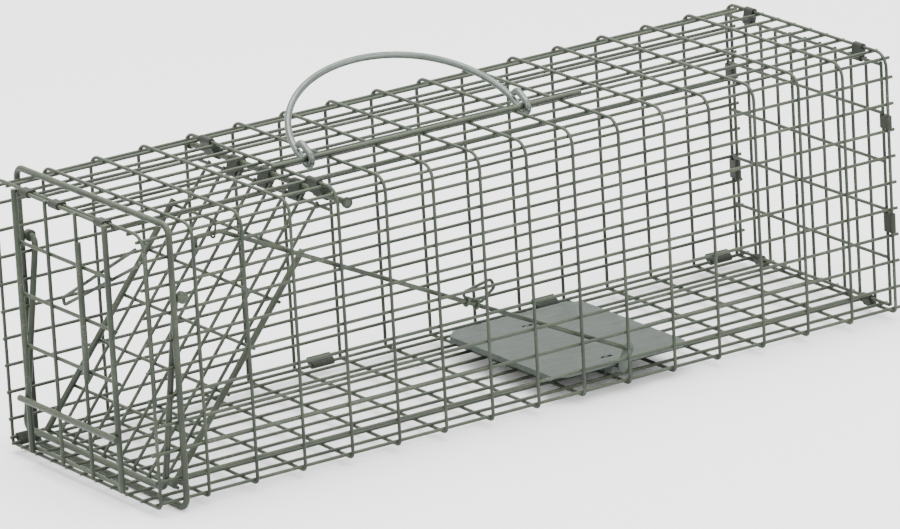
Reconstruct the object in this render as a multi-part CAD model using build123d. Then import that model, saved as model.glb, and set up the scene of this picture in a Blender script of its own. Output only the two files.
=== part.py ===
from build123d import *
from math import asin, atan2, cos, hypot, radians, sin
import os

os.makedirs("parts", exist_ok=True)

# ---------------------------------------------------------------- driving sizes, in mm
cage_length = 406.4          # between the first and the last cross wire
cage_width = 127.0           # over the wires
cage_height = 127.0          # over the wires
mesh_pitch = 12.7            # between wires that run along the cage
cross_pitch = 25.4           # between wires that run round the cage
wire = 1.6                   # mesh wire diameter
weld_bite = 0.3              # how far two welded wires sink into each other
top_bend = 7.0               # bend radius of the body sheet at its top edges
bottom_bend = 2.5            # bend radius at the near bottom edge
front_stub = 3.0             # floor wires past the first cross wire
side_stub = 2.0              # wall wires past the first cross wire
rear_stub = 4.0              # all long wires past the last cross wire
seam_step_y = 2.8            # floor's edge wire, inside the far wall's wires
seam_step_z = 1.8            # far wall's lowest wire, above the floor's wires
seam_end_gap = 0.2           # floor's cross wires to the far wall's

rear_edge_inset = 3.9        # rear panel's edge wires, inside the walls' cross wires
rear_floor_gap = 0.4         # its lowest wire, above the floor's wires
rear_top_drop = 5.2          # its highest wire, below the top's cross wires

clip_wall = 0.8
clip_length = 9.0
seam_clip_length = 12.0
rear_clip_y = 43.0           # wanted places of the rear panel's clips, from the middle
rear_clip_zs = (44.0, 93.0)  # and above the cage's underside
seam_clip_xs = (5.6, 165.0, 292.0, 394.0)    # wanted places, behind the first cross wire
clip_end_gap = 0.5           # between a clip's end and the next wire
clip_fit = 0.05              # a crimped clip over its wires
running_fit = 0.06           # radial clearance of a pivot

rod = 3.0                    # heavy rod: hoop, lock bar, hinge rod, handle rod
hoop_x = 12.7                # behind the first cross wire
hoop_gap = 0.1               # hoop to the long wires it lies against
hoop_foot_drop = 1.8         # hoop's bottom bar centre, below the cage
hoop_top_raise = 3.0         # of its top bar, off the long wires
hoop_top_radius = 5.0
hoop_bottom_radius = 5.5

door_hinge_x = 105.4         # behind the first cross wire
door_hinge_drop = 7.4        # below the top of the cage
door_length = 147.3          # hinge axis to the door's lower edge
door_floor_gap = 2.1         # door's middle plane above the floor wires
door_wires = 8
door_wall_gap = 6.6          # ends of its cross wires to the walls' long wires
door_lip = 0.4               # its wires, past the outermost wires that cross them
door_cross_pitch = 23.6
door_top_wire = 5.5          # hinge axis to the door's first cross wire
side_rod_start = 27.0        # hinge axis to the free end of a side rod
side_rod_inset = 0.7         # its middle, inside the ends of the door's cross wires
door_loop_length = 8.0
door_loop_columns = (-2, 0, 2)       # places, in mesh pitches from the middle
loop_wall = 1.0
hinge_rod_inset = 0.2        # hinge rod's ends, inside the outer face of the hoop
hinge_clip_columns = (-3.5, 3.5)
collar_wall = 1.0
collar_gap = 0.3             # collars to the walls' cross wires

lock_pivot_z = 95.25         # wanted height, above the cage's underside, between two wall wires
lock_leg = 88.0              # pivot to cross bar
lock_lean = 7.7              # degrees forward, with its cross bar over the door's foot
lock_wall_gap = 0.4          # its legs to the walls' long wires
lock_bend = 4.0
eye_wall = 1.2

flap_wire = 1.8
flap_side_wire = 2.8
flap_columns = 3
flap_rows = 5
flap_pitch = 25.4            # between its upright wires
flap_bottom = 4.9            # lowest rung above the cage's underside
flap_weight_rung = 1         # the rung that is a heavy bar, from the bottom
flap_weight_overhang = 3.0   # of that bar, past the side uprights
flap_gap = 0.8               # between the top rung and the cage's first wire
flap_lip = 0.5               # its uprights, below the lowest rung
flap_clip_length = 7.0
flap_clip_columns = (-2.5, 0.5, 2.5)
weight_rod_low = 1.9         # ends of the upright weight rod, in rungs from the lowest
weight_rod_high = 4.5
stay_upper_inset = 3.5       # hairpin's two ends, inside the near wall's wires
stay_lower_inset = 1.8
stay_upper_drop = 5.5        # and below the top's long wires
stay_lower_drop = 12.5
stay_nose_y = 7.62           # hairpin's nose, past the middle of the flap
stay_nose_rung = 3.2         # its height, in rungs from the lowest
stay_nose_step = 0.6         # sideways, between the nose's two bends
stay_nose_width = 3.2        # upright, between them
stay_bend = 1.2

handle_wire = 3.2
handle_front_wire = 4        # its front eye is behind this cross wire, counted from 0
handle_front_past = 13.4     # how far behind it
handle_rear_wire = 9
handle_rear_past = 4.4
handle_rise = 53.0           # above its pivot rod
handle_lean = 59.0           # degrees from upright, to the far side
handle_column = -1.5         # in mesh pitches from the middle
handle_eye_gap = 0.35
handle_eye_height = 5.4      # between the middles of an eye's two bends
handle_rod_wire = 2.5
handle_rod_front = 96.0      # behind the first cross wire
handle_rod_rear = 264.2

pan_front = 218.4            # behind the first cross wire
pan_rear = 294.6
pan_crank_gap = 0.6          # pan's near edge to the crank
pan_far = 37.0               # its far edge, from the middle
pan_top = 9.5                # above the cage's underside
pan_sheet = 0.9
pan_lip = 1.8
pan_corner = 6.0
pan_rod = 2.4
pan_rod_short = 6.0          # pivot rod's far end, inside the pan's edge
pan_pivot_wire = 10          # the pan turns above this cross wire, counted from 0
strap_thickness = 1.2
strap_wall = 1.0
strap_columns = (-3.5, 1.5)  # in mesh pitches from the middle
strap_slot_gap = 0.6

trigger_wire = 2.2
trigger_wall_gap = 0.8       # to the near wall's long wires
trigger_hang = 4.28          # level run, below the near top corner wire
trigger_tail = 1.55          # past the crank's inner face
trigger_tail_bend = 1.3
crank_radius = 9.0
crank_thickness = 1.1
crank_wall = 1.3             # round its hole and its rod
crank_fit = 0.01             # crank pressed on the pivot rod
crank_gap = 0.3              # crank to the trigger rod
crank_hole_gap = 0.3
trigger_bend_x = 42.0        # the rod turns level here
trigger_nose_x = 29.0
trigger_nose_drop = 6.0
trigger_nose_bend = 2.0
trigger_radius = 3.0
hanger_wire = 1.0
hanger_gap = 0.45
hanger_x = 38.1
finger_wire = 1.5
finger_coil_wire = 1.3
finger_fit = 0.02
finger_height = 59.0         # where the loop starts, above the cage's underside
finger_bend = 1.5
finger_coils = (2.6, 8.4)    # along the trigger rod from there
finger_outline = [(5.2, 0), (10.5, 0), (15, 8.2), (11.5, 11), (-3.2, 0), (4.4, 0)]   # along it, and off it

# ---------------------------------------------------------------- sizes that follow
r = wire / 2
rr = rod / 2
layer = wire - weld_bite                     # between the two layers of a mesh
rung_x = -(r + flap_gap + flap_wire / 2)     # flap's rungs, from the first cross wire
front_reach = -rung_x + flap_wire / 2 + flap_side_wire - weld_bite + rod
x0 = -cage_length / 2 + (front_reach - rear_stub) / 2
x1 = x0 + cage_length
z0 = hoop_foot_drop + rr                     # cage's underside above the ground
side_y = cage_width / 2 - r                  # middle of the cross wires
long_y = side_y - layer                      # middle of the long wires
wall_inside_y = long_y - r
door_half_width = wall_inside_y - door_wall_gap
side_rod_y = door_half_width - side_rod_inset
lock_y = wall_inside_y - lock_wall_gap - rr
trigger_y = -(wall_inside_y - trigger_wall_gap - trigger_wire / 2)
crank_y = trigger_y + trigger_wire / 2 + crank_gap + crank_thickness / 2
pan_near = crank_y + crank_thickness / 2 + pan_crank_gap
floor_cross_z = z0 + r
floor_long_z = floor_cross_z + layer
top_cross_z = z0 + cage_height - r
top_long_z = top_cross_z - layer
floor_inside_z = floor_long_z + r
corner_reach = (top_bend - layer) * sin(radians(45))
corner_y = side_y - top_bend + corner_reach
corner_z = top_cross_z - top_bend + corner_reach
cross_count = round(cage_length / cross_pitch) + 1
cross_xs = [x0 + i * cage_length / (cross_count - 1) for i in range(cross_count)]
wall_rows = [z0 + mesh_pitch * k for k in range(1, int((cage_height - top_bend) / mesh_pitch) + 1)]
top_half = int((side_y - top_bend) / mesh_pitch)
top_columns = [k * mesh_pitch for k in range(-top_half, top_half + 1)]


def cylinder(start, end, radius):
    """Straight round wire between two points."""
    axis = Vector(*end) - Vector(*start)
    section = Plane(origin=start, z_dir=axis) * Circle(radius)
    return extrude(section, amount=axis.length)


def bent(points, radius, bend, close=False):
    """Round wire that follows straight runs joined by bends."""
    path = FilletPolyline(*points, radius=bend, close=close)
    section = Plane(origin=path @ 0, z_dir=path % 0) * Circle(radius)
    return sweep(section, path=path)


def ring(center, axis, middle_radius, radius):
    """Round wire bent to a circle about an axis."""
    return Plane(origin=center, z_dir=axis) * Torus(middle_radius, radius)


def clip(first, second, r1, r2, along, length, wall=clip_wall, fit1=clip_fit, fit2=clip_fit):
    """Sheet clip crimped over two wires that run the same way."""
    offset = Vector(*second) - Vector(*first)
    start = Vector(*first) - Vector(*along) * (length / 2)
    plane = Plane(origin=start, x_dir=offset, z_dir=along)
    outline = [CenterArc((0, 0), r1 + fit1 + wall, 0, 360)]
    outline.append(CenterArc((offset.length, 0), r2 + fit2 + wall, 0, 360))
    face = make_hull(edges=outline)
    face -= Circle(r1 + fit1)
    face -= Pos(offset.length, 0) * Circle(r2 + fit2)
    return extrude(plane * face, amount=length)


def tube(start, along, length, inner, outer):
    """Plain round tube."""
    section = Plane(origin=start, z_dir=along) * (Circle(outer) - Circle(inner))
    return extrude(section, amount=length)


def gap_near(place, wires):
    """Middle and clear length of the gap between parallel wires around a place."""
    below = max(w for w in wires if w <= place)
    above = min(w for w in wires if w > place)
    return (below + above) / 2, above - below - wire - 2 * clip_end_gap


def save(name, *solids):
    """One file for one piece, or for a group of equal pieces."""
    shape = solids[0] if len(solids) == 1 else Compound(children=list(solids))
    shape.label = name
    export_step(shape, "parts/" + name + ".step")


def weld(pieces):
    """Wires welded into one mesh."""
    return Part() + pieces


# ---------------------------------------------------------------- cage
def floor_mesh():
    start = -(side_y - bottom_bend)
    end = side_y - r - seam_end_gap
    seam_y = long_y - seam_step_y
    pieces = [cylinder((x, start, floor_cross_z), (x, end, floor_cross_z), r) for x in cross_xs]
    for y in top_columns + [seam_y]:
        pieces.append(cylinder((x0 - front_stub, y, floor_long_z), (x1 + rear_stub, y, floor_long_z), r))
    return weld(pieces)


def top_mesh():
    end = side_y - top_bend
    pieces = [cylinder((x, -end, top_cross_z), (x, end, top_cross_z), r) for x in cross_xs]
    for y in top_columns:
        pieces.append(cylinder((x0 - r, y, top_long_z), (x1 + rear_stub, y, top_long_z), r))
    return weld(pieces)


def wall_upright(x, side, bottom_bent):
    """A cross wire's run up a wall, with its bend into the top."""
    arc_start = (x, side * side_y, top_cross_z - top_bend)
    arc_end = (x, side * (side_y - top_bend), top_cross_z)
    middle = top_bend * (1 - cos(radians(45)))
    arc_middle = (x, side * (side_y - middle), top_cross_z - middle)
    path = ThreePointArc(arc_start, arc_middle, arc_end)
    if bottom_bent:
        dip = bottom_bend * (1 - cos(radians(45)))
        foot = (x, side * side_y, floor_cross_z + bottom_bend)
        low_middle = (x, side * (side_y - dip), floor_cross_z + dip)
        low_end = (x, side * (side_y - bottom_bend), floor_cross_z)
        path = Wire([ThreePointArc(low_end, low_middle, foot), Line(foot, arc_start), path])
    else:
        path = Wire([Line((x, side * side_y, z0), arc_start), path])
    section = Plane(origin=path @ 0, z_dir=path % 0) * Circle(r)
    return sweep(section, path=path)


def wall_mesh(side, bottom_bent):
    pieces = [wall_upright(x, side, bottom_bent) for x in cross_xs]
    start, end = x0 - side_stub, x1 + rear_stub
    y = side * long_y
    for z in wall_rows:
        pieces.append(cylinder((start, y, z), (end, y, z), r))
    pieces.append(cylinder((start, side * corner_y, corner_z), (end, side * corner_y, corner_z), r))
    inside = (bottom_bend - layer) * sin(radians(45))
    low_y = side * (side_y - bottom_bend + inside) if bottom_bent else y
    low_z = floor_cross_z + bottom_bend - inside if bottom_bent else floor_long_z + seam_step_z
    pieces.append(cylinder((start, low_y, low_z), (end, low_y, low_z), r))
    return weld(pieces)


rear_edge_y = side_y - rear_edge_inset
rear_low_z = floor_inside_z + rear_floor_gap + r
rear_high_z = top_cross_z - rear_top_drop
rear_count = round(cage_width / mesh_pitch)
rear_columns = [-rear_edge_y + 2 * rear_edge_y * i / rear_count for i in range(rear_count + 1)]
rear_steps = round(cage_height / cross_pitch)
rear_rows = [rear_low_z + (rear_high_z - rear_low_z) * k / rear_steps for k in range(rear_steps + 1)]


def rear_panel_mesh():
    pieces = []
    for y in rear_columns:
        pieces.append(cylinder((x1, y, rear_low_z - r), (x1, y, rear_high_z + r), r))
    for z in rear_rows:
        pieces.append(cylinder((x1 - layer, -rear_edge_y - r, z), (x1 - layer, rear_edge_y + r, z), r))
    return weld(pieces)


def rear_panel_clips():
    """Two clips on each edge of the rear panel, in the gaps between both meshes' wires."""
    clips = []
    for y in (-rear_clip_y, rear_clip_y):
        middle, room = gap_near(y, rear_columns + top_columns)
        length = min(room, clip_length)
        low = [(x1 - layer, middle, rear_low_z), (x1, middle, floor_cross_z)]
        high = [(x1 - layer, middle, rear_high_z), (x1, middle, top_cross_z)]
        clips.append(clip(*low, r, r, (0, 1, 0), length))
        clips.append(clip(*high, r, r, (0, 1, 0), length))
    for z in rear_clip_zs:
        middle, room = gap_near(z0 + z, rear_rows + wall_rows)
        length = min(room, clip_length)
        for side in (-1, 1):
            pair = [(x1, side * rear_edge_y, middle), (x1, side * side_y, middle)]
            clips.append(clip(*pair, r, r, (0, 0, 1), length))
    return clips


def seam_clips():
    clips = []
    stops = [x0 + hoop_x - rr, x0 + hoop_x + rr]
    for x in seam_clip_xs:
        middle, room = gap_near(x0 + x, cross_xs + stops)
        length = min(room, seam_clip_length)
        pair = [(middle, long_y - seam_step_y, floor_long_z), (middle, long_y, floor_long_z + seam_step_z)]
        clips.append(clip(*pair, r, r, (1, 0, 0), length))
    return clips


hoop_y = long_y + r + hoop_gap + rr
hoop_low_z = rr
hoop_high_z = z0 + cage_height + hoop_top_raise - rr


def front_hoop():
    """Closed rod round the mouth, with wide bends above and tight bends below."""
    x = x0 + hoop_x
    a, b = hoop_top_radius, hoop_bottom_radius
    half = 1 - cos(radians(45))
    pieces = []
    for side in (-1, 1):
        pieces.append(Line((x, side * hoop_y, hoop_low_z + b), (x, side * hoop_y, hoop_high_z - a)))
    corners = [(-1, hoop_high_z, a, -1), (1, hoop_high_z, a, -1), (-1, hoop_low_z, b, 1), (1, hoop_low_z, b, 1)]
    for side, z, radius, up in corners:
        start = (x, side * hoop_y, z + up * radius)
        middle = (x, side * (hoop_y - radius * half), z + up * radius * half)
        end = (x, side * (hoop_y - radius), z)
        pieces.append(ThreePointArc(start, middle, end))
    pieces.append(Line((x, -hoop_y + a, hoop_high_z), (x, hoop_y - a, hoop_high_z)))
    pieces.append(Line((x, -hoop_y + b, hoop_low_z), (x, hoop_y - b, hoop_low_z)))
    path = Wire.combine([edge.edge() for edge in pieces])[0]
    section = Plane(origin=path @ 0, z_dir=path % 0) * Circle(rr)
    return sweep(section, path=path)


# ---------------------------------------------------------------- handle
handle_rr = handle_rod_wire / 2
handle_y = handle_column * mesh_pitch
handle_z = z0 + cage_height + handle_rr
handle_front_x = cross_xs[handle_front_wire] + handle_front_past
handle_rear_x = cross_xs[handle_rear_wire] + handle_rear_past


def handle_rod():
    front, rear = x0 + handle_rod_front, x0 + handle_rod_rear
    return cylinder((front, handle_y, handle_z), (rear, handle_y, handle_z), handle_rr)


def handle_eye(x, eye):
    """Oval eye round the handle rod, from the bail's foot round to its open end."""
    half = eye * sin(radians(45))
    top = handle_eye_height
    foot = (x, eye, top)
    low = (x, eye, 0)
    runs = [Line(foot, low), ThreePointArc(low, (x, 0, -eye), (x, -eye, 0))]
    runs.append(Line((x, -eye, 0), (x, -eye, top)))
    runs.append(ThreePointArc((x, -eye, top), (x, -half, top + half), (x, 0, top + eye)))
    return runs


def handle():
    """Bail with an oval eye at each end, leaning over to the far side."""
    radius = handle_wire / 2
    eye = handle_rr + handle_eye_gap + radius
    foot = handle_eye_height
    middle, half_span = (handle_front_x + handle_rear_x) / 2, (handle_rear_x - handle_front_x) / 2
    arch = Plane(origin=(middle, eye, foot), x_dir=(1, 0, 0), z_dir=(0, -1, 0))
    half = EllipticalCenterArc((0, 0), half_span, handle_rise - foot, start_angle=0, arc_size=180)
    bow = arch * half
    bail = sweep(Plane(origin=bow @ 0, z_dir=bow % 0) * Circle(radius), path=bow)
    for x in (handle_front_x, handle_rear_x):
        path = Wire(handle_eye(x, eye))
        bail += sweep(Plane(origin=path @ 0, z_dir=path % 0) * Circle(radius), path=path)
    lean_over = Rot(-handle_lean, 0, 0) * bail
    return Pos(0, handle_y, handle_z) * lean_over


# ---------------------------------------------------------------- door
hinge_x = x0 + door_hinge_x
hinge_z = z0 + cage_height - door_hinge_drop
door_drop = hinge_z - floor_inside_z - door_floor_gap
door_angle = asin(door_drop / door_length)
door_plane = Plane(origin=(hinge_x, 0, hinge_z),
                   x_dir=(-cos(door_angle), 0, -sin(door_angle)),
                   z_dir=(-sin(door_angle), 0, cos(door_angle)))
door_columns = [(i - (door_wires - 1) / 2) * mesh_pitch for i in range(door_wires)]


def in_door(along, y, up):
    """Point on the door: down its slope, across, and out of its front."""
    return door_plane.from_local_coords(Vector(along, -y, up))


def door_wire(first, second, radius):
    a, b = in_door(*first), in_door(*second)
    return cylinder((a.X, a.Y, a.Z), (b.X, b.Y, b.Z), radius)


def door_mesh():
    top = door_top_wire - r - door_lip
    pieces = [door_wire((top, y, 0), (door_length, y, 0), r) for y in door_columns]
    crosses = int((door_length - door_top_wire) / door_cross_pitch)
    spacing = (door_length - door_top_wire - r - door_lip) / crosses
    for k in range(crosses + 1):
        along = door_top_wire + k * spacing
        pieces.append(door_wire((along, -door_half_width, -layer), (along, door_half_width, -layer), r))
    return weld(pieces)


def door_side_rod(side):
    up = -layer + r + rr
    return door_wire((side_rod_start, side * side_rod_y, up), (door_length, side * side_rod_y, up), rr)


def door_hinge_loops():
    loops = []
    target = in_door(door_top_wire, 0, -layer)
    for column in door_loop_columns:
        y = column * mesh_pitch
        pair = [(hinge_x, y, hinge_z), (target.X, y, target.Z)]
        loops.append(clip(*pair, rr, r, (0, 1, 0), door_loop_length, loop_wall, running_fit, clip_fit))
    return loops


hinge_rod_end = hoop_y + rr - hinge_rod_inset


def door_hinge_rod():
    return cylinder((hinge_x, -hinge_rod_end, hinge_z), (hinge_x, hinge_rod_end, hinge_z), rr)


def hinge_rod_collars():
    """Collars on the rod's ends, outside the walls."""
    length = hinge_rod_end - side_y - r - collar_gap
    inner, outer = rr + clip_fit, rr + clip_fit + collar_wall
    near = tube((hinge_x, -hinge_rod_end, hinge_z), (0, 1, 0), length, inner, outer)
    far = tube((hinge_x, hinge_rod_end, hinge_z), (0, -1, 0), length, inner, outer)
    return [near, far]


def hinge_rod_clips():
    wire_x = max(x for x in cross_xs if x < hinge_x)
    clips = []
    for column in hinge_clip_columns:
        y = column * mesh_pitch
        pair = [(hinge_x, y, hinge_z), (wire_x, y, top_cross_z)]
        clips.append(clip(*pair, rr, r, (0, 1, 0), clip_length))
    return clips


# ---------------------------------------------------------------- lock bar
eye_outer = rr + running_fit + eye_wall
lock_x = x0 + hoop_x + rr + eye_outer
lock_z = gap_near(z0 + lock_pivot_z, wall_rows)[0]


def lock_bar():
    """U of heavy rod whose ends turn out through the walls into two eyes."""
    out = hoop_y + rr
    low = lock_z - lock_leg * cos(radians(lock_lean))
    front = lock_x - lock_leg * sin(radians(lock_lean))
    points = [(lock_x, -out, lock_z), (lock_x, -lock_y, lock_z), (front, -lock_y, low)]
    points += [(front, lock_y, low), (lock_x, lock_y, lock_z), (lock_x, out, lock_z)]
    return bent(points, rr, lock_bend)


def lock_pivot_eyes():
    length = hoop_y + rr - side_y
    near = tube((lock_x, -side_y, lock_z), (0, -1, 0), length, rr + running_fit, eye_outer)
    far = tube((lock_x, side_y, lock_z), (0, 1, 0), length, rr + running_fit, eye_outer)
    return [near, far]


# ---------------------------------------------------------------- flap
flap_x = x0 + rung_x
flap_half = flap_columns * flap_pitch / 2
flap_low = z0 + flap_bottom
rung_step = (top_cross_z - flap_low) / flap_rows


def flap_mesh():
    """Rungs with thin uprights in front of them and a thick upright at each side."""
    fr = flap_wire / 2
    pieces = []
    for i in range(flap_columns + 1):
        y = -flap_half + i * flap_pitch
        upright = flap_side_wire / 2 if i in (0, flap_columns) else fr
        x = flap_x - (fr + upright - weld_bite)
        pieces.append(cylinder((x, y, flap_low - fr - flap_lip), (x, y, top_cross_z + fr), upright))
    for k in range(flap_rows + 1):
        z = flap_low + k * rung_step
        if k == flap_weight_rung:
            continue
        pieces.append(cylinder((flap_x, -flap_half - fr, z), (flap_x, flap_half + fr, z), fr))
    return weld(pieces)


def flap_hinge_clips():
    clips = []
    for column in flap_clip_columns:
        y = column * mesh_pitch
        pair = [(x0, y, top_cross_z), (flap_x, y, top_cross_z)]
        clips.append(clip(*pair, r, flap_wire / 2, (0, 1, 0), flap_clip_length, clip_wall, running_fit, clip_fit))
    return clips


def flap_weight_rod():
    """Heavy rod welded beside the flap's second upright."""
    x = flap_x - flap_wire / 2 - rr
    y = -flap_pitch / 2 - flap_wire / 2 - rr
    low, high = flap_low + weight_rod_low * rung_step, flap_low + weight_rod_high * rung_step
    return cylinder((x, y, low), (x, y, high), rr)


def flap_weight_bar():
    """Heavy bar across the front of the flap, in the place of one rung."""
    x = flap_x - flap_wire / 2 - flap_side_wire + weld_bite - rr
    z = flap_low + flap_weight_rung * rung_step
    half = flap_half + flap_weight_overhang
    return cylinder((x, -half, z), (x, half, z), rr)


def flap_stay():
    """Hairpin of thin wire from the middle of the flap up to its near top corner."""
    x = flap_x + flap_wire / 2 + r
    nose_z = flap_low + stay_nose_rung * rung_step
    upper = (x, -(wall_inside_y - stay_upper_inset), top_long_z - stay_upper_drop)
    lower = (x, -(wall_inside_y - stay_lower_inset), top_long_z - stay_lower_drop)
    nose = (x, stay_nose_y, nose_z)
    nose_low = (x, stay_nose_y - stay_nose_step, nose_z - stay_nose_width)
    return bent([upper, nose, nose_low, lower], r, stay_bend)


# ---------------------------------------------------------------- pan and trigger
pivot_x = cross_xs[pan_pivot_wire]
pivot_z = z0 + pan_top - pan_sheet - pan_rod / 2
bend_x = x0 + trigger_bend_x
level_z = corner_z - trigger_hang
# The rod's sloping run is a tangent to the circle of the crank's pin.
run, rise = pivot_x - bend_x, level_z - pivot_z
slope = atan2(rise, run) - asin(crank_radius / hypot(rise, run))
pin_x = pivot_x + crank_radius * sin(slope)
pin_z = pivot_z + crank_radius * cos(slope)
strap_outer = pan_rod / 2 + running_fit + strap_wall


def pan_plate():
    """Sheet treadle with cut corners, small down-turned lips and slots over the straps."""
    width, depth = pan_rear - pan_front, pan_far - pan_near
    middle = (x0 + (pan_front + pan_rear) / 2, (pan_near + pan_far) / 2, z0 + pan_top - pan_sheet)
    outline = Rectangle(width, depth)
    outline = chamfer(outline.vertices(), pan_corner)
    plate = extrude(Plane(origin=middle, z_dir=(0, 0, 1)) * outline, amount=pan_sheet)
    lip_depth = depth - 2 * pan_corner
    for side in (-1, 1):
        x = middle[0] + side * (width / 2 - pan_sheet / 2)
        plate += Pos(x, middle[1], middle[2] - pan_lip / 2) * Box(pan_sheet, lip_depth, pan_lip)
    slot_x = 2 * (strap_outer + strap_slot_gap)
    slot_y = strap_thickness + 2 * strap_slot_gap
    for column in strap_columns:
        plate -= Pos(pivot_x, column * mesh_pitch, middle[2]) * Box(slot_x, slot_y, 4 * pan_sheet)
    return plate


def pan_pivot_rod():
    start, end = crank_y - crank_thickness / 2, pan_far - pan_rod_short
    return cylinder((pivot_x, start, pivot_z), (pivot_x, end, pivot_z), pan_rod / 2)


def pan_pivot_straps():
    straps = []
    for column in strap_columns:
        y = column * mesh_pitch
        pair = [(pivot_x, y, pivot_z), (pivot_x, y, floor_cross_z)]
        straps.append(clip(*pair, pan_rod / 2, r, (0, 1, 0), strap_thickness, strap_wall, running_fit, clip_fit))
    return straps


def pan_crank():
    pair = [(pivot_x, crank_y, pivot_z), (pin_x, crank_y, pin_z)]
    pin = trigger_wire / 2
    return clip(*pair, pan_rod / 2, pin, (0, 1, 0), crank_thickness, crank_wall, crank_fit, crank_hole_gap)


def trigger_rod():
    """Sloping rod, turned in at its rear end through the crank, with a hooked nose."""
    tail_y = crank_y + crank_thickness / 2 + trigger_tail
    nose_x = x0 + trigger_nose_x
    points = [(pin_x, tail_y, pin_z), (pin_x, trigger_y, pin_z), (bend_x, trigger_y, level_z)]
    points += [(nose_x, trigger_y, level_z), (nose_x, trigger_y, level_z - trigger_nose_drop)]
    return bent(points, trigger_wire / 2, [trigger_tail_bend, trigger_radius, trigger_nose_bend])


def trigger_hanger():
    """Wire ring that hangs the front of the trigger rod from the corner wire."""
    gap = Vector(0, -corner_y, corner_z) - Vector(0, trigger_y, level_z)
    middle_radius = trigger_wire / 2 + hanger_gap + hanger_wire / 2
    plane = Plane(origin=(x0 + hanger_x, trigger_y, level_z), x_dir=gap, z_dir=(1, 0, 0))
    slot = Pos(gap.length / 2, 0) * SlotCenterToCenter(gap.length, 2 * middle_radius)
    path = (plane * slot).face().outer_wire()
    section = Plane(origin=path @ 0, z_dir=path % 0) * Circle(hanger_wire / 2)
    return sweep(section, path=path)


def finger_loop():
    """Open wire loop above the trigger rod, wrapped round the rod at two places."""
    start_z = z0 + finger_height
    start_x = pin_x - (start_z - pin_z) * cos(slope) / sin(slope)
    down_rod = (cos(slope), 0, -sin(slope))
    plane = Plane(origin=(start_x, trigger_y, start_z), x_dir=down_rod, z_dir=(0, -1, 0))
    radius = finger_wire / 2
    base = trigger_wire / 2 + radius + finger_fit
    points = [plane.from_local_coords(Vector(along, base + off, 0)) for along, off in finger_outline]
    loop = bent([(p.X, p.Y, p.Z) for p in points], radius, finger_bend)
    coil = trigger_wire / 2 + finger_coil_wire / 2 + finger_fit
    for along in finger_coils:
        center = plane.from_local_coords(Vector(along, 0, 0))
        loop += ring((center.X, center.Y, center.Z), down_rod, coil, finger_coil_wire / 2)
    return loop


# ---------------------------------------------------------------- write one file per piece
save("floor_mesh", floor_mesh())
save("near_wall_mesh", wall_mesh(-1, True))
save("far_wall_mesh", wall_mesh(1, False))
save("top_mesh", top_mesh())
save("rear_panel_mesh", rear_panel_mesh())
save("rear_panel_clips", *rear_panel_clips())
save("seam_clips", *seam_clips())
save("front_hoop", front_hoop())
save("handle_rod", handle_rod())
save("handle", handle())
save("door_hinge_rod", door_hinge_rod())
save("hinge_rod_clips", *hinge_rod_clips())
save("hinge_rod_collars", *hinge_rod_collars())
save("door_mesh", door_mesh())
save("door_side_rod_near", door_side_rod(-1))
save("door_side_rod_far", door_side_rod(1))
save("door_hinge_loops", *door_hinge_loops())
save("lock_bar", lock_bar())
save("lock_pivot_eyes", *lock_pivot_eyes())
save("flap_mesh", flap_mesh())
save("flap_hinge_clips", *flap_hinge_clips())
save("flap_weight_rod", flap_weight_rod())
save("flap_weight_bar", flap_weight_bar())
save("flap_stay", flap_stay())
save("pan_plate", pan_plate())
save("pan_pivot_rod", pan_pivot_rod())
save("pan_pivot_straps", *pan_pivot_straps())
save("pan_crank", pan_crank())
save("trigger_rod", trigger_rod())
save("trigger_hanger", trigger_hanger())
save("finger_loop", finger_loop())
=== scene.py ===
import math
import bpy
from mathutils import Matrix, Vector


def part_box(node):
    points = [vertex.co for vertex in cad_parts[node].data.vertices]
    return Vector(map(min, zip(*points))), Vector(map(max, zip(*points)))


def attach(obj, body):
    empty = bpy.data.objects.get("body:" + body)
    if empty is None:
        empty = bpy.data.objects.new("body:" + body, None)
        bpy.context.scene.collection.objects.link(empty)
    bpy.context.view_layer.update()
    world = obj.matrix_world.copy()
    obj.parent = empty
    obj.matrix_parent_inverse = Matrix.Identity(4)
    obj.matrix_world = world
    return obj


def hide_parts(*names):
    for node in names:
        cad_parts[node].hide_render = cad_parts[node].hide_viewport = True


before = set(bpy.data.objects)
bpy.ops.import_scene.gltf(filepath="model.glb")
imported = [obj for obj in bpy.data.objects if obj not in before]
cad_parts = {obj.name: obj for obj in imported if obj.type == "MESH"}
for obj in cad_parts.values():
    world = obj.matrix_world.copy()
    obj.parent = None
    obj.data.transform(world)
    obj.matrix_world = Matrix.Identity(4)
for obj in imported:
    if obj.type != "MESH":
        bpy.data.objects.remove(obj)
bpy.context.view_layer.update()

# ---------------------------------------------------------------- body of the cage
# One sheet of half-inch by one-inch welded wire mesh, wrapped into a square tube.
# Every wire is spot welded where it crosses another, galvanised, then dipped in a
# dark grey-green coating that pools a little in the welds.
WIRE = 0.0016
WELD_BITE = 0.0003
LAYER = WIRE - WELD_BITE
MESH_PITCH = 0.0127
CROSS_WIRES = 17
TOP_BEND = 0.007
FOOT_BEND = 0.0025
REAR_STUB = 0.004
SIDE_STUB = 0.002
FLOOR_STUB = 0.003
SEAM_END_GAP = 0.0002
SEAM_STEP_Y, SEAM_STEP_Z = 0.0028, 0.0018
DIAGONAL = math.sin(math.radians(45))
WELD_RADIUS = 0.00095
WIRE_SIDES = 12
SIDE_FACE_CORNERS = 4
RUBBED_METAL = (0.16, 0.18, 0.165)


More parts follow.
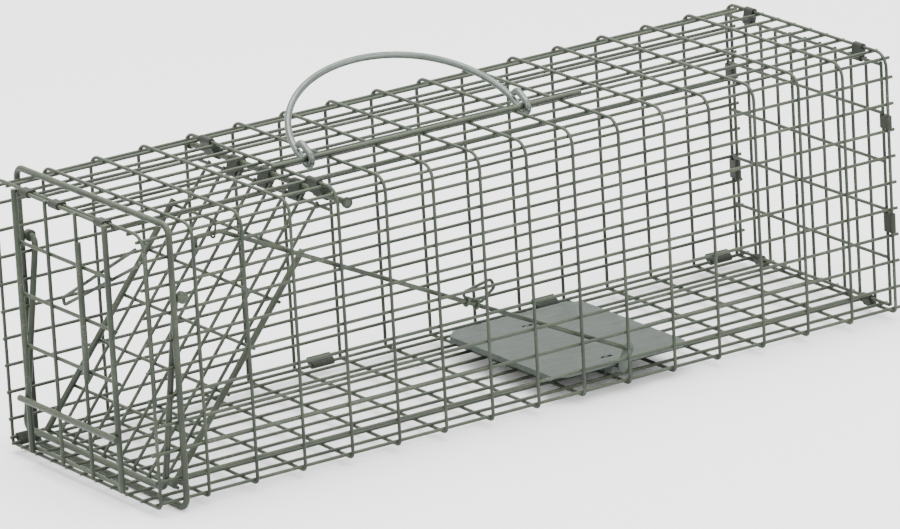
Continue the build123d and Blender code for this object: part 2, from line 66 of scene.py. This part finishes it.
def coating_group():
    """Tone, rubbed spots, dust with painted top light (upward faces lighter), and fine height that every
    coated wire shares.
    """
    tree = bpy.data.node_groups.new("coating_variation", "ShaderNodeTree")
    face = tree.interface
    for name, value in (("Broad scale", 45.0), ("Fine scale", 900.0), ("Rub", 0.5)):
        socket = face.new_socket(name=name, in_out="INPUT", socket_type="NodeSocketFloat")
        socket.default_value = value
    for name in ("Tone", "Rubbed", "Dust and top light", "Height"):
        face.new_socket(name=name, in_out="OUTPUT", socket_type="NodeSocketFloat")
    nodes, links = tree.nodes, tree.links
    given = nodes.new("NodeGroupInput")
    out = nodes.new("NodeGroupOutput")
    place = nodes.new("ShaderNodeTexCoord")
    broad = nodes.new("ShaderNodeTexNoise")
    broad.inputs["Detail"].default_value = 4.0
    links.new(place.outputs["Object"], broad.inputs["Vector"])
    links.new(given.outputs["Broad scale"], broad.inputs["Scale"])
    fine = nodes.new("ShaderNodeTexNoise")
    fine.inputs["Detail"].default_value = 6.0
    links.new(place.outputs["Object"], fine.inputs["Vector"])
    links.new(given.outputs["Fine scale"], fine.inputs["Scale"])
    tone = nodes.new("ShaderNodeMapRange")
    tone.interpolation_type = "SMOOTHSTEP"
    tone.inputs["From Min"].default_value = 0.32
    tone.inputs["From Max"].default_value = 0.68
    links.new(broad.outputs["Fac"], tone.inputs["Value"])
    links.new(tone.outputs["Result"], out.inputs["Tone"])
    spots = nodes.new("ShaderNodeMath")
    spots.operation = "MULTIPLY"
    links.new(broad.outputs["Fac"], spots.inputs[0])
    links.new(fine.outputs["Fac"], spots.inputs[1])
    rub = nodes.new("ShaderNodeMapRange")
    rub.inputs["From Min"].default_value = 0.33
    rub.inputs["From Max"].default_value = 0.42
    links.new(spots.outputs[0], rub.inputs["Value"])
    links.new(given.outputs["Rub"], rub.inputs["To Max"])
    links.new(rub.outputs["Result"], out.inputs["Rubbed"])
    # Upward-facing surfaces are lightened: partly dust, partly painted top light.
    facing = nodes.new("ShaderNodeNewGeometry")
    split = nodes.new("ShaderNodeSeparateXYZ")
    links.new(facing.outputs["Normal"], split.inputs[0])
    faces_up = nodes.new("ShaderNodeMapRange")
    faces_up.inputs["From Min"].default_value = 0.1
    faces_up.inputs["From Max"].default_value = 1.0
    links.new(split.outputs["Z"], faces_up.inputs["Value"])
    dust_and_top_light = nodes.new("ShaderNodeMath")
    dust_and_top_light.operation = "MULTIPLY"
    links.new(faces_up.outputs["Result"], dust_and_top_light.inputs[0])
    links.new(fine.outputs["Fac"], dust_and_top_light.inputs[1])
    links.new(dust_and_top_light.outputs[0], out.inputs["Dust and top light"])
    links.new(fine.outputs["Fac"], out.inputs["Height"])
    return tree


coating = coating_group()


def mixed(tree, factor, first, second):
    """Colour mix of two colours or colour outputs by a mask output."""
    mix = tree.nodes.new("ShaderNodeMix")
    mix.data_type = "RGBA"
    tree.links.new(factor, mix.inputs["Factor"])
    for socket, colour in ((mix.inputs["A"], first), (mix.inputs["B"], second)):
        if isinstance(colour, bpy.types.NodeSocket):
            tree.links.new(colour, socket)
        else:
            socket.default_value = (*colour, 1.0)
    return mix.outputs["Result"]


def mapped(tree, value, low, high):
    """A mask output stretched to run from low to high."""
    spread = tree.nodes.new("ShaderNodeMapRange")
    spread.inputs["To Min"].default_value = low
    spread.inputs["To Max"].default_value = high
    tree.links.new(value, spread.inputs["Value"])
    return spread.outputs["Result"]


def new_finish(name):
    """A material, its tree and its shader."""
    material = bpy.data.materials.new(name)
    material.use_nodes = True
    return material, material.node_tree, material.node_tree.nodes["Principled BSDF"]


def roughened(tree, shader, height, distance, strength):
    """Fine relief on a shader's normal."""
    raised = tree.nodes.new("ShaderNodeBump")
    raised.inputs["Distance"].default_value = distance
    raised.inputs["Strength"].default_value = strength
    tree.links.new(height, raised.inputs["Height"])
    tree.links.new(raised.outputs["Normal"], shader.inputs["Normal"])


def coated_steel(name, dark, light, dusty_top_light, rub=0.5, roughness=(0.4, 0.58), bump=0.0002):
    """Steel under a dipped coating, thinner and paler where it is rubbed, its upward faces lightened by dust
    and painted top light.
    """
    material, tree, shader = new_finish(name)
    group = tree.nodes.new("ShaderNodeGroup")
    group.node_tree = coating
    group.inputs["Rub"].default_value = rub
    colour = mixed(tree, group.outputs["Tone"], dark, light)
    colour = mixed(tree, group.outputs["Dust and top light"], colour, dusty_top_light)
    colour = mixed(tree, group.outputs["Rubbed"], colour, RUBBED_METAL)
    tree.links.new(colour, shader.inputs["Base Color"])
    tree.links.new(mapped(tree, group.outputs["Tone"], *roughness), shader.inputs["Roughness"])
    tree.links.new(mapped(tree, group.outputs["Rubbed"], 0.0, 0.8), shader.inputs["Metallic"])
    roughened(tree, shader, group.outputs["Height"], bump, 0.6)
    shader.inputs["Specular IOR Level"].default_value = 0.28
    return material


def wire_tree():
    """Thickens each line of a skeleton into a round wire and drops a weld on each loose point."""
    tree = bpy.data.node_groups.new("welded_wires", "GeometryNodeTree")
    face = tree.interface
    face.new_socket(name="Geometry", in_out="INPUT", socket_type="NodeSocketGeometry")
    face.new_socket(name="Weld radius", in_out="INPUT", socket_type="NodeSocketFloat")
    face.new_socket(name="Sides", in_out="INPUT", socket_type="NodeSocketInt")
    face.new_socket(name="Finish", in_out="INPUT", socket_type="NodeSocketMaterial")
    face.new_socket(name="Geometry", in_out="OUTPUT", socket_type="NodeSocketGeometry")
    nodes, links = tree.nodes, tree.links
    given, out = nodes.new("NodeGroupInput"), nodes.new("NodeGroupOutput")
    lines = nodes.new("GeometryNodeMeshToCurve")
    links.new(given.outputs["Geometry"], lines.inputs["Mesh"])
    bend = nodes.new("GeometryNodeInputNamedAttribute")
    bend.data_type = "FLOAT"
    bend.inputs["Name"].default_value = "bend"
    fillet = nodes.new("GeometryNodeFilletCurve")
    fillet.mode = "POLY"
    fillet.inputs["Count"].default_value = 7
    links.new(lines.outputs["Curve"], fillet.inputs["Curve"])
    links.new(bend.outputs["Attribute"], fillet.inputs["Radius"])
    half = nodes.new("GeometryNodeInputNamedAttribute")
    half.data_type = "FLOAT"
    half.inputs["Name"].default_value = "wire_radius"
    sized = nodes.new("GeometryNodeSetCurveRadius")
    links.new(fillet.outputs["Curve"], sized.inputs["Curve"])
    links.new(half.outputs["Attribute"], sized.inputs["Radius"])
    ring = nodes.new("GeometryNodeCurvePrimitiveCircle")
    ring.inputs["Radius"].default_value = 1.0
    links.new(given.outputs["Sides"], ring.inputs["Resolution"])
    body = nodes.new("GeometryNodeCurveToMesh")
    body.inputs["Fill Caps"].default_value = True
    links.new(sized.outputs["Curve"], body.inputs["Curve"])
    links.new(half.outputs["Attribute"], body.inputs["Scale"])
    links.new(ring.outputs["Curve"], body.inputs["Profile Curve"])
    corners = nodes.new("GeometryNodeInputMeshFaceNeighbors")
    side_face = nodes.new("FunctionNodeCompare")
    side_face.data_type = "INT"
    side_face.operation = "LESS_THAN"
    for socket in side_face.inputs:
        if socket.name == "A" and socket.type == "INT":
            links.new(corners.outputs["Vertex Count"], socket)
        if socket.name == "B" and socket.type == "INT":
            socket.default_value = SIDE_FACE_CORNERS + 1
    smooth = nodes.new("GeometryNodeSetShadeSmooth")
    links.new(body.outputs["Mesh"], smooth.inputs["Geometry"])
    links.new(side_face.outputs["Result"], smooth.inputs["Shade Smooth"])
    meeting = nodes.new("GeometryNodeInputMeshVertexNeighbors")
    loose = nodes.new("FunctionNodeCompare")
    loose.data_type = "INT"
    loose.operation = "EQUAL"
    for socket in loose.inputs:
        if socket.name == "A" and socket.type == "INT":
            links.new(meeting.outputs["Vertex Count"], socket)
    points = nodes.new("GeometryNodeMeshToPoints")
    links.new(given.outputs["Geometry"], points.inputs["Mesh"])
    links.new(loose.outputs["Result"], points.inputs["Selection"])
    nugget = nodes.new("GeometryNodeMeshIcoSphere")
    nugget.inputs["Subdivisions"].default_value = 2
    links.new(given.outputs["Weld radius"], nugget.inputs["Radius"])
    dropped = nodes.new("GeometryNodeInstanceOnPoints")
    links.new(points.outputs["Points"], dropped.inputs["Points"])
    links.new(nugget.outputs["Mesh"], dropped.inputs["Instance"])
    joined = nodes.new("GeometryNodeJoinGeometry")
    links.new(smooth.outputs["Geometry"], joined.inputs["Geometry"])
    links.new(dropped.outputs["Instances"], joined.inputs["Geometry"])
    real = nodes.new("GeometryNodeRealizeInstances")
    links.new(joined.outputs["Geometry"], real.inputs["Geometry"])
    finish = nodes.new("GeometryNodeSetMaterial")
    links.new(real.outputs["Geometry"], finish.inputs["Geometry"])
    links.new(given.outputs["Finish"], finish.inputs["Material"])
    links.new(finish.outputs["Geometry"], out.inputs["Geometry"])
    return tree


welded_wires = wire_tree()


def socket_name(tree, label):
    """Identifier of a tree's named input."""
    return next(i.identifier for i in tree.interface.items_tree if i.name == label and i.in_out == "INPUT")


def welded_piece(name, wires, welds, material, weld_radius=WELD_RADIUS, sides=WIRE_SIDES):
    """A finished piece from wires, each (points, wire radius, bend radii), and weld places."""
    places, edges, halves, bends = [], [], [], []
    for points, radius, bend in wires:
        first = len(places)
        places += [tuple(p) for p in points]
        edges += [(first + i, first + i + 1) for i in range(len(points) - 1)]
        halves += [radius] * len(points)
        bends += bend if bend else [0.0] * len(points)
    places += [tuple(w) for w in welds]
    halves += [0.0] * len(welds)
    bends += [0.0] * len(welds)
    skeleton = bpy.data.meshes.new(name + "_skeleton")
    skeleton.from_pydata(places, edges, [])
    skeleton.attributes.new("wire_radius", "FLOAT", "POINT").data.foreach_set("value", halves)
    skeleton.attributes.new("bend", "FLOAT", "POINT").data.foreach_set("value", bends)
    piece = bpy.data.objects.new(name, skeleton)
    bpy.context.scene.collection.objects.link(piece)
    grow = piece.modifiers.new("wires", "NODES")
    grow.node_group = welded_wires
    grow[socket_name(welded_wires, "Weld radius")] = weld_radius
    grow[socket_name(welded_wires, "Sides")] = sides
    grow[socket_name(welded_wires, "Finish")] = material
    view = bpy.context.evaluated_depsgraph_get()
    finished = bpy.data.meshes.new_from_object(piece.evaluated_get(view))
    finished.name = name
    piece.modifiers.remove(grow)
    piece.data = finished
    bpy.data.meshes.remove(skeleton)
    return piece


# The third colour of each coating goes on upward faces: dust and painted top light.
enamel = coated_steel("mesh_enamel", (0.016, 0.023, 0.015), (0.034, 0.043, 0.028), (0.075, 0.088, 0.058),
                      rub=0.3)

R = WIRE / 2
top_low, top_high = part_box("top_mesh")
floor_low, floor_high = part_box("floor_mesh")
wall_low, wall_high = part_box("near_wall_mesh")
first_x = top_low[0] + R
last_x = top_high[0] - REAR_STUB
cross_xs = [first_x + (last_x - first_x) * i / (CROSS_WIRES - 1) for i in range(CROSS_WIRES)]
side_y = -wall_low[1] - R
long_y = side_y - LAYER
foot_z = floor_low[2]
cross_floor_z = foot_z + R
long_floor_z = cross_floor_z + LAYER
cross_top_z = top_high[2] - R
long_top_z = cross_top_z - LAYER
corner = (TOP_BEND - LAYER) * DIAGONAL
corner_y = side_y - TOP_BEND + corner
corner_z = cross_top_z - TOP_BEND + corner
foot_corner = (FOOT_BEND - LAYER) * DIAGONAL
columns = [k * MESH_PITCH for k in range(-4, 5)]
rows = [foot_z + k * MESH_PITCH for k in range(1, 10)]


def body_mesh():
    wires, welds = [], []
    for x in cross_xs:
        turns = [(x, side_y, foot_z), (x, side_y, cross_top_z), (x, -side_y, cross_top_z),
                 (x, -side_y, cross_floor_z), (x, side_y - R - SEAM_END_GAP, cross_floor_z)]
        wires.append((turns, R, [0.0, TOP_BEND, TOP_BEND, FOOT_BEND, 0.0]))
    lines = [(y, long_floor_z, FLOOR_STUB, 0, -1) for y in columns + [long_y - SEAM_STEP_Y]]
    lines += [(y, long_top_z, R, 0, 1) for y in columns]
    lines += [(side * long_y, z, SIDE_STUB, side, 0) for side in (-1, 1) for z in rows]
    lines += [(side * corner_y, corner_z, SIDE_STUB, side * DIAGONAL, DIAGONAL) for side in (-1, 1)]
    lines.append((-(side_y - FOOT_BEND + foot_corner), cross_floor_z + FOOT_BEND - foot_corner,
                  SIDE_STUB, -DIAGONAL, -DIAGONAL))
    lines.append((long_y, long_floor_z + SEAM_STEP_Z, SIDE_STUB, 1, 0))
    for y, z, stub, out_y, out_z in lines:
        wires.append(([(first_x - stub, y, z), (last_x + REAR_STUB, y, z)], R, None))
        for x in cross_xs:
            welds.append((x, y + out_y * LAYER / 2, z + out_z * LAYER / 2))
    return wires, welds


cage_mesh = welded_piece("wrapped_body_mesh", *body_mesh(), enamel)
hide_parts("floor_mesh", "near_wall_mesh", "far_wall_mesh", "top_mesh")
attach(cage_mesh, "cage")

# ---------------------------------------------------------------- rear panel and seam
# A flat square of the same mesh closes the rear. Crimped sheet clips hold its edge
# wires to the last wire of the body, and the same clips close the body's seam.
clip_dark = coated_steel("clip_coating", (0.008, 0.011, 0.007), (0.016, 0.021, 0.013), (0.026, 0.032, 0.022),
                         rub=0.1, roughness=(0.5, 0.65))
REAR_STEPS = 5
REAR_COLUMNS = 10


def finish_cad(node, material):
    """Gives a CAD node its finish."""
    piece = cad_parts[node]
    for place in piece.material_slots:
        place.material = material


def rear_panel():
    low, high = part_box("rear_panel_mesh")
    wires, welds = [], []
    front, back = low[0] + R, high[0] - R
    edge = high[1] - R
    ys = [-edge + 2 * edge * i / REAR_COLUMNS for i in range(REAR_COLUMNS + 1)]
    zs = [low[2] + R + (high[2] - low[2] - WIRE) * k / REAR_STEPS for k in range(REAR_STEPS + 1)]
    wires += [([(back, y, low[2]), (back, y, high[2])], R, None) for y in ys]
    wires += [([(front, low[1], z), (front, high[1], z)], R, None) for z in zs]
    welds += [((front + back) / 2, y, z) for y in ys for z in zs]
    return wires, welds


rear_mesh = welded_piece("rear_panel_wires", *rear_panel(), enamel)
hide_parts("rear_panel_mesh")
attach(rear_mesh, "cage")
for node in ("rear_panel_clips", "seam_clips"):
    finish_cad(node, clip_dark)

# ---------------------------------------------------------------- front hoop
# A closed hoop of heavy rod stiffens the mouth. It is slipped over the body and its
# lower bar is the front foot. Two eyes on its legs carry the lock bar.
rod_coating = coated_steel("rod_coating", (0.015, 0.021, 0.013), (0.031, 0.040, 0.025), (0.075, 0.090, 0.058),
                           rub=0.28, roughness=(0.32, 0.46))
for node in ("front_hoop", "lock_pivot_eyes"):
    finish_cad(node, rod_coating)

# ---------------------------------------------------------------- door
# A sloping panel of mesh between two heavy side rods. Its three loops turn on the
# hinge rod, which two clips hang from a wire of the body.
DOOR_LENGTH = 0.1473
DOOR_FLOOR_GAP = 0.0021
DOOR_WIRES = 8
DOOR_HALF_WIDTH = 0.054
DOOR_TOP_WIRE = 0.0055
DOOR_CROSS_PITCH = 0.0236
END_LIP = 0.0004
hinge_low, hinge_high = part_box("door_hinge_rod")
hinge = Vector(((hinge_low[0] + hinge_high[0]) / 2, 0, (hinge_low[2] + hinge_high[2]) / 2))
door_drop = hinge.z - (long_floor_z + R) - DOOR_FLOOR_GAP
door_angle = math.asin(door_drop / DOOR_LENGTH)
down_door = Vector((-math.cos(door_angle), 0, -math.sin(door_angle)))
out_of_door = Vector((-math.sin(door_angle), 0, math.cos(door_angle)))


def on_door(along, y, out):
    return hinge + down_door * along + Vector((0, y, 0)) + out_of_door * out


def door_panel():
    top = DOOR_TOP_WIRE - R - END_LIP
    count = int((DOOR_LENGTH - DOOR_TOP_WIRE) / DOOR_CROSS_PITCH)
    step = (DOOR_LENGTH - DOOR_TOP_WIRE - R - END_LIP) / count
    ys = [(i - (DOOR_WIRES - 1) / 2) * MESH_PITCH for i in range(DOOR_WIRES)]
    wires = [([on_door(top, y, 0), on_door(DOOR_LENGTH, y, 0)], R, None) for y in ys]
    welds = []
    for k in range(count + 1):
        along = DOOR_TOP_WIRE + k * step
        ends = [on_door(along, -DOOR_HALF_WIDTH, -LAYER), on_door(along, DOOR_HALF_WIDTH, -LAYER)]
        wires.append((ends, R, None))
        welds += [on_door(along, y, -LAYER / 2) for y in ys]
    return wires, welds


door_mesh = welded_piece("door_wires", *door_panel(), enamel)
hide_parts("door_mesh")
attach(door_mesh, "door")
for node in ("door_side_rod_near", "door_side_rod_far", "door_hinge_rod"):
    finish_cad(node, rod_coating)
for node in ("door_hinge_loops", "hinge_rod_clips", "hinge_rod_collars"):
    finish_cad(node, clip_dark)

# ---------------------------------------------------------------- lock bar
# A heavy U of rod hangs in front of the door, so that a closed door can't be pushed
# back up. It swings on the two eyes of the hoop.
finish_cad("lock_bar", rod_coating)

# ---------------------------------------------------------------- flap
# A narrow panel of one-inch mesh hangs in the mouth from the body's first wire, with
# thick side wires, a weight rod in front and a hairpin stay behind.
FLAP_WIRE = 0.0018
FLAP_SIDE_WIRE = 0.0028
FLAP_COLUMNS = 3
FLAP_ROWS = 5
FLAP_WEIGHT_RUNG = 1
FLAP_PITCH = 0.0254
FLAP_LIP = 0.0005
FLAP_WELD_DEPTH = 0.8


def flap_panel():
    low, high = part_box("flap_mesh")
    half = FLAP_WIRE / 2
    rung_x = high[0] - half
    half_width = FLAP_COLUMNS * FLAP_PITCH / 2
    first_z = low[2] + half + FLAP_LIP
    step = (cross_top_z - first_z) / FLAP_ROWS
    zs = [first_z + k * step for k in range(FLAP_ROWS + 1)]
    rungs = [z for k, z in enumerate(zs) if k != FLAP_WEIGHT_RUNG]
    wires = [([(rung_x, -half_width - half, z), (rung_x, half_width + half, z)], half, None) for z in rungs]
    welds = []
    for i in range(FLAP_COLUMNS + 1):
        thick = FLAP_SIDE_WIRE / 2 if i in (0, FLAP_COLUMNS) else half
        x = rung_x - (half + thick - WELD_BITE)
        y = -half_width + i * FLAP_PITCH
        wires.append(([(x, y, low[2]), (x, y, high[2])], thick, None))
        welds += [(rung_x - half * FLAP_WELD_DEPTH, y, z) for z in rungs]
    return wires, welds


flap_mesh = welded_piece("flap_wires", *flap_panel(), enamel)
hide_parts("flap_mesh")
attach(flap_mesh, "flap")
finish_cad("flap_hinge_clips", clip_dark)
finish_cad("flap_weight_rod", rod_coating)
finish_cad("flap_weight_bar", rod_coating)
finish_cad("flap_stay", enamel)

# ---------------------------------------------------------------- trigger and pan
# The pan is a sheet-metal treadle on a pivot rod held by two straps. Its crank pulls
# the long trigger rod, which hangs in a wire ring near the mouth.


def galvanised_sheet():
    """Zinc-coated sheet with a faint spangle, dulled by dust and small scratches."""
    material, tree, shader = new_finish("galvanised_sheet")
    place = tree.nodes.new("ShaderNodeTexCoord")
    spangle = tree.nodes.new("ShaderNodeTexVoronoi")
    spangle.inputs["Scale"].default_value = 190.0
    tree.links.new(place.outputs["Object"], spangle.inputs["Vector"])
    grey = tree.nodes.new("ShaderNodeSeparateColor")
    tree.links.new(spangle.outputs["Color"], grey.inputs["Color"])
    stretch = tree.nodes.new("ShaderNodeMapping")
    stretch.inputs["Scale"].default_value = (40.0, 900.0, 900.0)
    tree.links.new(place.outputs["Object"], stretch.inputs["Vector"])
    scratch = tree.nodes.new("ShaderNodeTexNoise")
    scratch.inputs["Scale"].default_value = 1.0
    scratch.inputs["Detail"].default_value = 5.0
    tree.links.new(stretch.outputs["Vector"], scratch.inputs["Vector"])
    cloud = tree.nodes.new("ShaderNodeTexNoise")
    cloud.inputs["Scale"].default_value = 30.0
    tree.links.new(place.outputs["Object"], cloud.inputs["Vector"])
    grain = mapped(tree, grey.outputs["Red"], 0.2, 0.8)
    colour = mixed(tree, grain, (0.062, 0.080, 0.068), (0.102, 0.126, 0.109))
    colour = mixed(tree, mapped(tree, cloud.outputs["Fac"], 0.0, 0.5), colour, (0.048, 0.058, 0.049))
    tree.links.new(colour, shader.inputs["Base Color"])
    tree.links.new(mapped(tree, scratch.outputs["Fac"], 0.32, 0.62), shader.inputs["Roughness"])
    shader.inputs["Metallic"].default_value = 0.75
    roughened(tree, shader, scratch.outputs["Fac"], 0.00015, 0.4)
    return material


sheet = galvanised_sheet()
for node in ("pan_plate", "pan_pivot_rod", "pan_pivot_straps", "pan_crank"):
    finish_cad(node, sheet)
for node in ("trigger_rod", "finger_loop"):
    finish_cad(node, rod_coating)
finish_cad("trigger_hanger", clip_dark)

# ---------------------------------------------------------------- handle
# A bail of bare drawn steel, hooked with an oval eye at each end round a rod that is
# welded along the top. It has flopped over to the far side.


def drawn_steel():
    """Bare drawn wire, with fine die lines and a few dull patches."""
    material, tree, shader = new_finish("drawn_steel")
    place = tree.nodes.new("ShaderNodeTexCoord")
    stretch = tree.nodes.new("ShaderNodeMapping")
    stretch.inputs["Scale"].default_value = (120.0, 1500.0, 1500.0)
    tree.links.new(place.outputs["Object"], stretch.inputs["Vector"])
    lines = tree.nodes.new("ShaderNodeTexNoise")
    lines.inputs["Scale"].default_value = 1.0
    lines.inputs["Detail"].default_value = 4.0
    tree.links.new(stretch.outputs["Vector"], lines.inputs["Vector"])
    patches = tree.nodes.new("ShaderNodeTexNoise")
    patches.inputs["Scale"].default_value = 70.0
    patches.inputs["Detail"].default_value = 5.0
    tree.links.new(place.outputs["Object"], patches.inputs["Vector"])
    colour = mixed(tree, patches.outputs["Fac"], (0.058, 0.070, 0.060), (0.18, 0.205, 0.185))
    tree.links.new(colour, shader.inputs["Base Color"])
    tree.links.new(mapped(tree, lines.outputs["Fac"], 0.22, 0.5), shader.inputs["Roughness"])
    shader.inputs["Metallic"].default_value = 0.9
    roughened(tree, shader, lines.outputs["Fac"], 0.0001, 0.5)
    return material


finish_cad("handle", drawn_steel())
finish_cad("handle_rod", rod_coating)

# ---------------------------------------------------------------- floor, lights and camera
# A plain pale floor, broad soft lights and a long lens from the front near corner.
FLOOR_SIZE = 12.0


def pale_floor():
    material, _, shader = new_finish("pale_floor")
    shader.inputs["Base Color"].default_value = (0.92, 0.92, 0.92, 1.0)
    shader.inputs["Roughness"].default_value = 0.9
    shader.inputs["Specular IOR Level"].default_value = 0.1
    mesh = bpy.data.meshes.new("pale_floor")
    half = FLOOR_SIZE / 2
    corners = [(-half, -half, 0), (half, -half, 0), (half, half, 0), (-half, half, 0)]
    mesh.from_pydata(corners, [], [(0, 1, 2, 3)])
    mesh.materials.append(material)
    floor = bpy.data.objects.new("pale_floor", mesh)
    bpy.context.scene.collection.objects.link(floor)


def soft_light(name, place, size, power):
    """Square area light aimed at the middle of the cage."""
    data = bpy.data.lights.new(name, "AREA")
    data.size = size
    data.energy = power
    light = bpy.data.objects.new(name, data)
    light.location = place
    light.rotation_euler = (target - Vector(place)).to_track_quat("-Z", "Y").to_euler()
    bpy.context.scene.collection.objects.link(light)


HALF_HEIGHT = 0.0635
target = Vector(((first_x + last_x) / 2, 0, foot_z + HALF_HEIGHT))
pale_floor()
soft_light("overhead", (0.1, 0.1, 1.6), 1.6, 50.0)
soft_light("front_left", (-1.5, -0.9, 1.0), 1.0, 12.0)
soft_light("near_side", (0.7, -1.6, 0.9), 1.0, 16.0)
world = bpy.data.worlds.new("white_room")
world.use_nodes = True
world.node_tree.nodes["Background"].inputs["Color"].default_value = (1.0, 1.0, 1.0, 1.0)
world.node_tree.nodes["Background"].inputs["Strength"].default_value = 2.0
bpy.context.scene.world = world

AZIMUTH, ELEVATION, ROLL = -33.35, 17.23, 3.26
LENS = 315.4
DISTANCE = 3.6065
ASIDE, BELOW = 0.0019, -0.0083
az, el, roll = (math.radians(a) for a in (AZIMUTH, ELEVATION, ROLL))
back = Vector((math.sin(az) * math.cos(el), -math.cos(az) * math.cos(el), math.sin(el)))
right = (-back).cross(Vector((0, 0, 1))).normalized()
down = (-back).cross(right)
across = right * math.cos(roll) + down * math.sin(roll)
below = down * math.cos(roll) - right * math.sin(roll)
lens = bpy.data.cameras.new("camera")
lens.lens = LENS
lens.clip_start = 0.05
lens.clip_end = 60.0
camera = bpy.data.objects.new("camera", lens)
bpy.context.scene.collection.objects.link(camera)
spot = target + back * DISTANCE - across * ASIDE - below * BELOW
turn = Matrix((across, -below, back)).transposed().to_4x4()
camera.matrix_world = Matrix.Translation(spot) @ turn
bpy.context.scene.camera = camera
